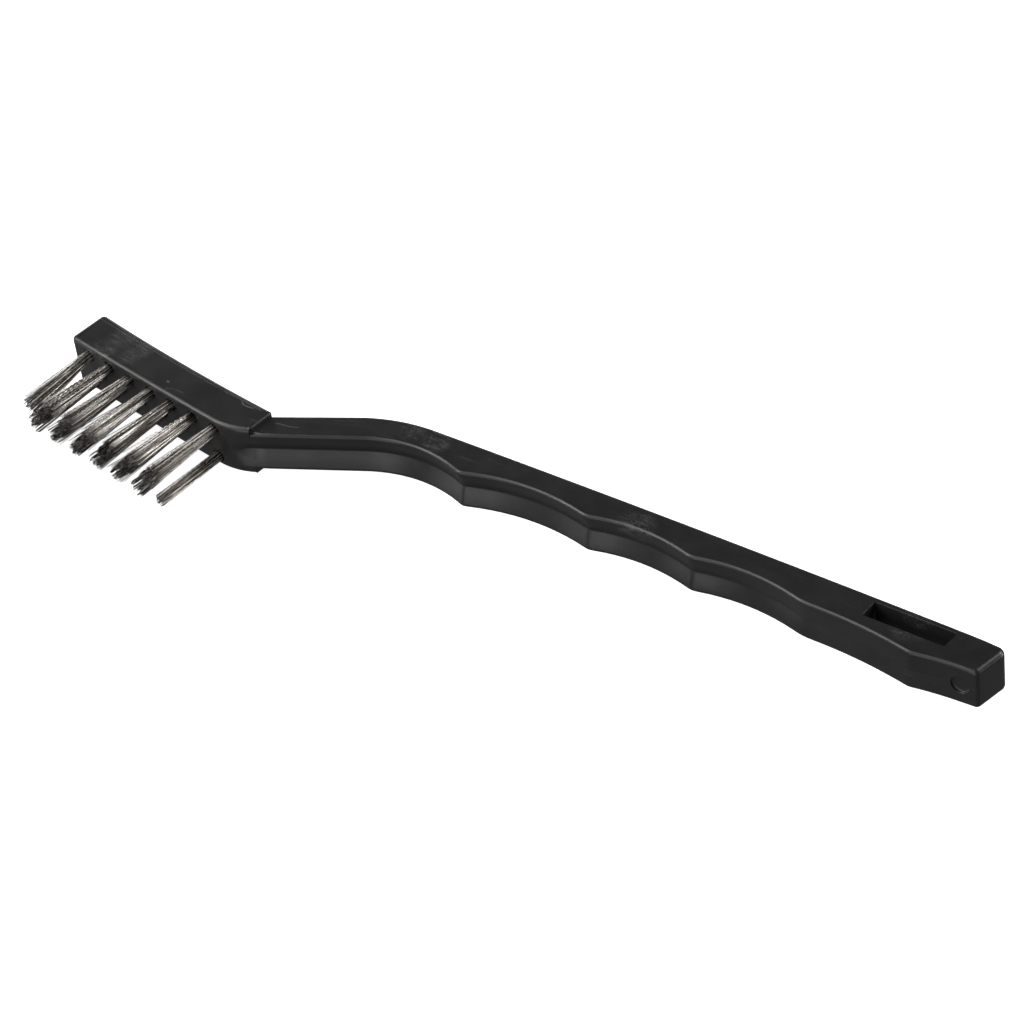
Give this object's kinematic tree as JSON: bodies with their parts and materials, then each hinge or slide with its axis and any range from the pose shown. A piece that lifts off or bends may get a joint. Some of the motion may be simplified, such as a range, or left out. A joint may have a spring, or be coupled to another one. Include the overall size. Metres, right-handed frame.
{
  "type": "wire brush",
  "caption": "Small hand wire brush: narrow head with staggered rows of stiff steel wire tufts, angled neck and slim finger-grip plastic handle with a hanging slot.",
  "frame": {"origin": "bottom centre of the bounding box, with the brush lying on one flat side", "axes": "+X runs from the head along the handle to the tail, -Y is the side the wire points to, +Z is the width of the body, up from the surface it lies on"},
  "size_m": [0.1792, 0.0326, 0.0105],
  "materials": {
    "plastic": "black moulded polypropylene, satin, lightly scuffed",
    "wire": "crimped steel wire with dark cut ends",
    "anchor": "cut flat steel strip"
  },
  "bodies": {
    "root": {"handle_body": "plastic", "wire_tuft_a1": "wire", "wire_tuft_a2": "wire", "wire_tuft_a3": "wire", "wire_tuft_a4": "wire", "wire_tuft_a5": "wire", "wire_tuft_a6": "wire", "wire_tuft_a7": "wire", "wire_tuft_b1": "wire", "wire_tuft_b2": "wire", "wire_tuft_b3": "wire", "wire_tuft_b4": "wire", "wire_tuft_b5": "wire", "wire_tuft_b6": "wire", "wire_tuft_c1": "wire", "wire_tuft_c2": "wire", "wire_tuft_c3": "wire", "wire_tuft_c4": "wire", "wire_tuft_c5": "wire", "wire_tuft_c6": "wire", "wire_tuft_c7": "wire", "tuft_anchor_a1": "anchor", "tuft_anchor_a2": "anchor", "tuft_anchor_a3": "anchor", "tuft_anchor_a4": "anchor", "tuft_anchor_a5": "anchor", "tuft_anchor_a6": "anchor", "tuft_anchor_a7": "anchor", "tuft_anchor_b1": "anchor", "tuft_anchor_b2": "anchor", "tuft_anchor_b3": "anchor", "tuft_anchor_b4": "anchor", "tuft_anchor_b5": "anchor", "tuft_anchor_b6": "anchor", "tuft_anchor_c1": "anchor", "tuft_anchor_c2": "anchor", "tuft_anchor_c3": "anchor", "tuft_anchor_c4": "anchor", "tuft_anchor_c5": "anchor", "tuft_anchor_c6": "anchor", "tuft_anchor_c7": "anchor"}
  },
  "joints": []
}
